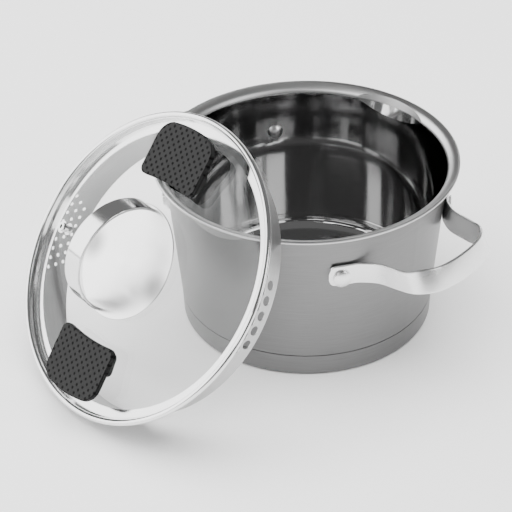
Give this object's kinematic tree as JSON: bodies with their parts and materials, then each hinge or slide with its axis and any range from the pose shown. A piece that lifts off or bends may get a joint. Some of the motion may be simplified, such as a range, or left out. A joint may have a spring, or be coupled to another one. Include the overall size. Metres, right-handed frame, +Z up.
{
  "type": "saucepan with glass lid",
  "caption": "Steel saucepan with riveted strap handles and pouring lips, and a leaning glass strainer lid with a steel arch handle and silicone grips.",
  "frame": {"origin": "centre of the pan's flat underside, on the table", "axes": "+Z up along the pan's axis, X through the two side handles, Y through the two pouring lips; the lid leans on the -Y side"},
  "size_m": [0.286, 0.3236, 0.1783],
  "materials": {
    "pan_steel": "satin outside, polished inside",
    "handle_steel": "bright satin",
    "lid_steel": "polished",
    "core_aluminium": "plain",
    "clear_glass": "clear, tempered",
    "grip_silicone": "matt, dimpled",
    "seal_silicone": "matt",
    "grip_plastic": "matt"
  },
  "bodies": {
    "pan": {"pan_body": "pan_steel", "base_core": "core_aluminium", "base_cap": "pan_steel", "right_handle": "handle_steel", "left_handle": "handle_steel", "right_rivet_front": "handle_steel", "right_rivet_back": "handle_steel", "left_rivet_front": "handle_steel", "left_rivet_back": "handle_steel"},
    "lid": {"lid_ring": "lid_steel", "lid_glass": "clear_glass", "vent_eyelet": "lid_steel", "vent_washer": "lid_steel", "lid_handle_plate": "lid_steel", "lid_handle_strap": "lid_steel", "lid_handle_boss": "lid_steel", "lid_handle_seal": "seal_silicone", "lid_under_seal": "seal_silicone", "lid_under_washer": "lid_steel", "lid_screw": "lid_steel", "near_grip": "grip_silicone", "far_grip": "grip_silicone", "near_grip_base": "grip_plastic", "far_grip_base": "grip_plastic", "near_grip_washer": "grip_plastic", "far_grip_washer": "grip_plastic", "near_grip_screw": "lid_steel", "far_grip_screw": "lid_steel"}
  },
  "joints": [
    {"name": "lid_lift", "type": "slide", "parent": "pan", "child": "lid", "axis": [-0.1563, -0.7545, 0.6374], "range_m": [0, 0.2]}
  ]
}
